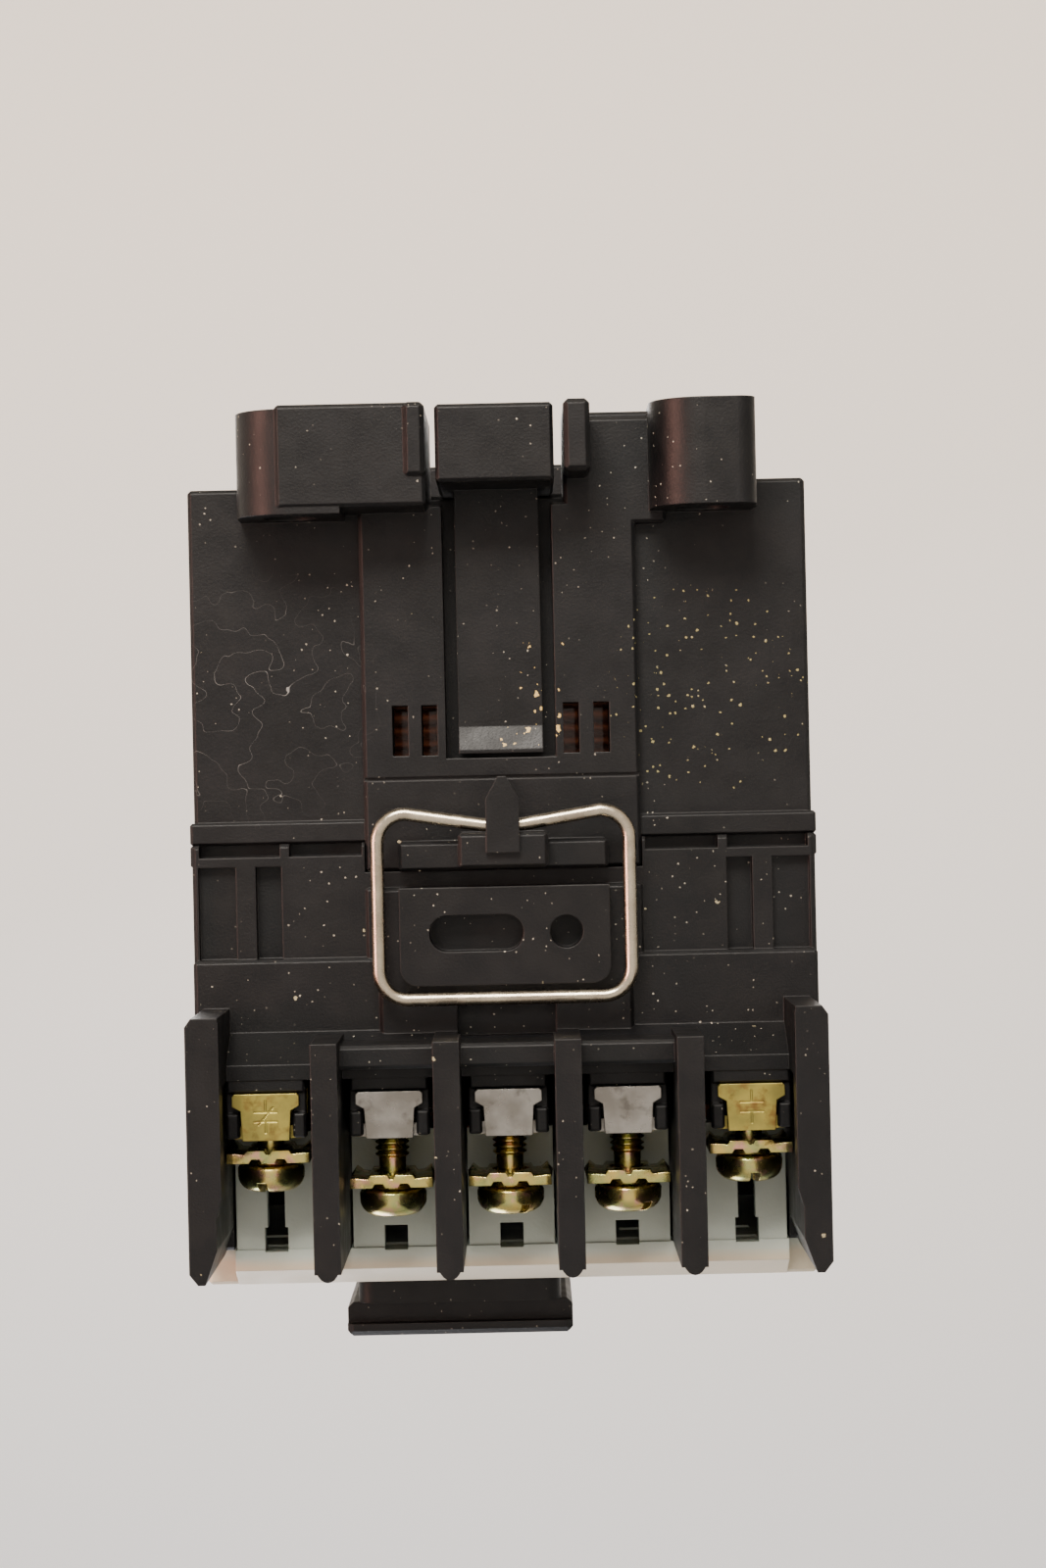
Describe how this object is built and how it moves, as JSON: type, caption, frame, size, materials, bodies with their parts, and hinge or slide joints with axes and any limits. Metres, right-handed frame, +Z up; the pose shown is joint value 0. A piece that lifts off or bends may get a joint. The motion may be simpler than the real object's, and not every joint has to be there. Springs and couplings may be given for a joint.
{
  "type": "contactor",
  "caption": "Three-pole contactor for a rail or panel, with auxiliary contacts, screw terminals between barriers, coil and laminated magnet, wire bails and a sprung rail latch.",
  "frame": {"origin": "centre of the four panel screw holes on the rear mounting plane, on the centre line of the rail", "axes": "+X to the right seen from the front, +Y out of the back into the panel (the front faces -Y), +Z up along the panel with the line terminals on top"},
  "size_m": [0.0536, 0.0807, 0.08],
  "materials": {
    "black_plastic": "moulded thermoset, fine matt texture",
    "carrier_plastic": "moulded, satin",
    "grey_plastic": "moulded, satin light grey",
    "label_plastic": "smooth, blank",
    "bobbin_plastic": "moulded nylon",
    "rubber": "matt",
    "core_steel": "laminated silicon steel",
    "winding": "enamelled copper wire under tape",
    "copper": "punched copper",
    "contact_silver": "silver alloy",
    "spring_steel": "drawn wire",
    "bail_wire": "drawn stainless wire",
    "brass": "punched brass, dull",
    "nickel_plate": "nickel-plated brass, dull",
    "yellow_zinc": "yellow passivated zinc plating"
  },
  "bodies": {
    "frame": {"base_frame": "black_plastic", "rubber_cushion": "rubber", "fixed_core": "core_steel", "shading_rings": "copper", "core_rivets": "core_steel", "coil_bobbin": "bobbin_plastic", "coil_winding": "winding", "coil_terminals": "brass", "return_springs": "spring_steel", "contact_housing": "black_plastic", "line_terminal_1": "nickel_plate", "line_terminal_2": "nickel_plate", "line_terminal_3": "nickel_plate", "load_terminal_1": "nickel_plate", "load_terminal_2": "nickel_plate", "load_terminal_3": "nickel_plate", "line_aux_terminal_left": "brass", "line_aux_terminal_right": "brass", "load_aux_terminal_left": "brass", "load_aux_terminal_right": "brass", "terminal_tips": "contact_silver", "front_cover": "grey_plastic", "front_head": "black_plastic", "label_plate": "label_plastic"},
    "armature": {"moving_core": "core_steel", "core_pin": "core_steel", "contact_carrier": "carrier_plastic", "contact_springs": "spring_steel"},
    "contact_bridges": {"main_bridges": "copper", "aux_closing_bridge": "copper", "aux_opening_bridge": "copper", "bridge_tips": "contact_silver"},
    "rail_latch": {"rail_latch": "black_plastic"},
    "load_bail": {"load_bail": "bail_wire"},
    "line_bail": {"line_bail": "bail_wire"},
    "washer_line_1": {"washer_line_1": "yellow_zinc"},
    "line_screw_1": {"line_screw_1": "yellow_zinc"},
    "washer_line_2": {"washer_line_2": "yellow_zinc"},
    "line_screw_2": {"line_screw_2": "yellow_zinc"},
    "washer_line_3": {"washer_line_3": "yellow_zinc"},
    "line_screw_3": {"line_screw_3": "yellow_zinc"},
    "washer_line_aux_left": {"washer_line_aux_left": "yellow_zinc"},
    "line_aux_screw_left": {"line_aux_screw_left": "yellow_zinc"},
    "washer_line_aux_right": {"washer_line_aux_right": "yellow_zinc"},
    "line_aux_screw_right": {"line_aux_screw_right": "yellow_zinc"},
    "washer_load_1": {"washer_load_1": "yellow_zinc"},
    "load_screw_1": {"load_screw_1": "yellow_zinc"},
    "washer_load_2": {"washer_load_2": "yellow_zinc"},
    "load_screw_2": {"load_screw_2": "yellow_zinc"},
    "washer_load_3": {"washer_load_3": "yellow_zinc"},
    "load_screw_3": {"load_screw_3": "yellow_zinc"},
    "washer_load_aux_left": {"washer_load_aux_left": "yellow_zinc"},
    "load_aux_screw_left": {"load_aux_screw_left": "yellow_zinc"},
    "washer_load_aux_right": {"washer_load_aux_right": "yellow_zinc"},
    "load_aux_screw_right": {"load_aux_screw_right": "yellow_zinc"},
    "washer_coil_left": {"washer_coil_left": "yellow_zinc"},
    "coil_screw_left": {"coil_screw_left": "yellow_zinc"},
    "washer_coil_right": {"washer_coil_right": "yellow_zinc"},
    "coil_screw_right": {"coil_screw_right": "yellow_zinc"}
  },
  "joints": [
    {"name": "armature_slide", "type": "slide", "parent": "frame", "child": "armature", "axis": [0, 1, 0], "range_m": [0, 0.0054], "stiffness_N_per_m": 400, "springref_m": -0.008, "deforming": ["return_springs", "contact_springs"]},
    {"name": "bridge_travel", "type": "slide", "parent": "frame", "child": "contact_bridges", "axis": [0, 1, 0], "range_m": [0, 0.00281]},
    {"name": "latch_flex", "type": "hinge", "parent": "frame", "child": "rail_latch", "pos_m": [0, -0.0282, -0.0262], "axis": [-1, 0, 0], "range_deg": [0, 8], "stiffness_Nm_per_rad": 0.2},
    {"name": "bail_load_hinge", "type": "hinge", "parent": "frame", "child": "load_bail", "pos_m": [0, -0.03536, -0.0314], "axis": [1, 0, 0], "range_deg": [0, 105]},
    {"name": "bail_line_hinge", "type": "hinge", "parent": "frame", "child": "line_bail", "pos_m": [0, -0.03536, 0.0314], "axis": [-1, 0, 0], "range_deg": [0, 105]},
    {"name": "screw_travel_line_1", "type": "slide", "parent": "frame", "child": "washer_line_1", "axis": [0, 1, 0], "range_m": [-0.003, 0.003]},
    {"name": "turn_line_screw_1", "type": "hinge", "parent": "washer_line_1", "child": "line_screw_1", "pos_m": [-0.01, -0.06145, 0.0285], "axis": [0, 1, 0], "range_deg": [-2161, 2161]},
    {"name": "screw_travel_line_2", "type": "slide", "parent": "frame", "child": "washer_line_2", "axis": [0, 1, 0], "range_m": [-0.003, 0.003]},
    {"name": "turn_line_screw_2", "type": "hinge", "parent": "washer_line_2", "child": "line_screw_2", "pos_m": [0, -0.06145, 0.0285], "axis": [0, 1, 0], "range_deg": [-2161, 2161]},
    {"name": "screw_travel_line_3", "type": "slide", "parent": "frame", "child": "washer_line_3", "axis": [0, 1, 0], "range_m": [-0.003, 0.003]},
    {"name": "turn_line_screw_3", "type": "hinge", "parent": "washer_line_3", "child": "line_screw_3", "pos_m": [0.01, -0.06145, 0.0285], "axis": [0, 1, 0], "range_deg": [-2161, 2161]},
    {"name": "screw_travel_line_aux_left", "type": "slide", "parent": "frame", "child": "washer_line_aux_left", "axis": [0, 1, 0], "range_m": [-0.004, 0.0005]},
    {"name": "turn_line_aux_screw_left", "type": "hinge", "parent": "washer_line_aux_left", "child": "line_aux_screw_left", "pos_m": [-0.02035, -0.06145, 0.0285], "axis": [0, 1, 0], "range_deg": [-2881, 361]},
    {"name": "screw_travel_line_aux_right", "type": "slide", "parent": "frame", "child": "washer_line_aux_right", "axis": [0, 1, 0], "range_m": [-0.004, 0.0005]},
    {"name": "turn_line_aux_screw_right", "type": "hinge", "parent": "washer_line_aux_right", "child": "line_aux_screw_right", "pos_m": [0.02035, -0.06145, 0.0285], "axis": [0, 1, 0], "range_deg": [-2881, 361]},
    {"name": "screw_travel_load_1", "type": "slide", "parent": "frame", "child": "washer_load_1", "axis": [0, 1, 0], "range_m": [-0.003, 0.003]},
    {"name": "turn_load_screw_1", "type": "hinge", "parent": "washer_load_1", "child": "load_screw_1", "pos_m": [-0.01, -0.06145, -0.0285], "axis": [0, 1, 0], "range_deg": [-2161, 2161]},
    {"name": "screw_travel_load_2", "type": "slide", "parent": "frame", "child": "washer_load_2", "axis": [0, 1, 0], "range_m": [-0.003, 0.003]},
    {"name": "turn_load_screw_2", "type": "hinge", "parent": "washer_load_2", "child": "load_screw_2", "pos_m": [0, -0.06145, -0.0285], "axis": [0, 1, 0], "range_deg": [-2161, 2161]},
    {"name": "screw_travel_load_3", "type": "slide", "parent": "frame", "child": "washer_load_3", "axis": [0, 1, 0], "range_m": [-0.003, 0.003]},
    {"name": "turn_load_screw_3", "type": "hinge", "parent": "washer_load_3", "child": "load_screw_3", "pos_m": [0.01, -0.06145, -0.0285], "axis": [0, 1, 0], "range_deg": [-2161, 2161]},
    {"name": "screw_travel_load_aux_left", "type": "slide", "parent": "frame", "child": "washer_load_aux_left", "axis": [0, 1, 0], "range_m": [-0.004, 0.0005]},
    {"name": "turn_load_aux_screw_left", "type": "hinge", "parent": "washer_load_aux_left", "child": "load_aux_screw_left", "pos_m": [-0.02035, -0.06145, -0.0285], "axis": [0, 1, 0], "range_deg": [-2881, 361]},
    {"name": "screw_travel_load_aux_right", "type": "slide", "parent": "frame", "child": "washer_load_aux_right", "axis": [0, 1, 0], "range_m": [-0.004, 0.0005]},
    {"name": "turn_load_aux_screw_right", "type": "hinge", "parent": "washer_load_aux_right", "child": "load_aux_screw_right", "pos_m": [0.02035, -0.06145, -0.0285], "axis": [0, 1, 0], "range_deg": [-2881, 361]},
    {"name": "screw_travel_coil_left", "type": "slide", "parent": "frame", "child": "washer_coil_left", "axis": [0, 1, 0], "range_m": [-0.004, 0]},
    {"name": "turn_coil_screw_left", "type": "hinge", "parent": "washer_coil_left", "child": "coil_screw_left", "pos_m": [-0.01975, -0.0445, 0.0362], "axis": [0, 1, 0], "range_deg": [-2881, 0]},
    {"name": "screw_travel_coil_right", "type": "slide", "parent": "frame", "child": "washer_coil_right", "axis": [0, 1, 0], "range_m": [-0.004, 0]},
    {"name": "turn_coil_screw_right", "type": "hinge", "parent": "washer_coil_right", "child": "coil_screw_right", "pos_m": [0.01975, -0.0445, 0.0362], "axis": [0, 1, 0], "range_deg": [-2881, 0]}
  ],
  "couplings": [
    {"joint": "bridge_travel", "follows": "armature_slide", "ratio": 0.52},
    {"joint": "turn_line_screw_1", "follows": "screw_travel_line_1", "rad_per_m": 12566},
    {"joint": "turn_line_screw_2", "follows": "screw_travel_line_2", "rad_per_m": 12566},
    {"joint": "turn_line_screw_3", "follows": "screw_travel_line_3", "rad_per_m": 12566},
    {"joint": "turn_line_aux_screw_left", "follows": "screw_travel_line_aux_left", "rad_per_m": 12566},
    {"joint": "turn_line_aux_screw_right", "follows": "screw_travel_line_aux_right", "rad_per_m": 12566},
    {"joint": "turn_load_screw_1", "follows": "screw_travel_load_1", "rad_per_m": 12566},
    {"joint": "turn_load_screw_2", "follows": "screw_travel_load_2", "rad_per_m": 12566},
    {"joint": "turn_load_screw_3", "follows": "screw_travel_load_3", "rad_per_m": 12566},
    {"joint": "turn_load_aux_screw_left", "follows": "screw_travel_load_aux_left", "rad_per_m": 12566},
    {"joint": "turn_load_aux_screw_right", "follows": "screw_travel_load_aux_right", "rad_per_m": 12566},
    {"joint": "turn_coil_screw_left", "follows": "screw_travel_coil_left", "rad_per_m": 12566},
    {"joint": "turn_coil_screw_right", "follows": "screw_travel_coil_right", "rad_per_m": 12566}
  ]
}
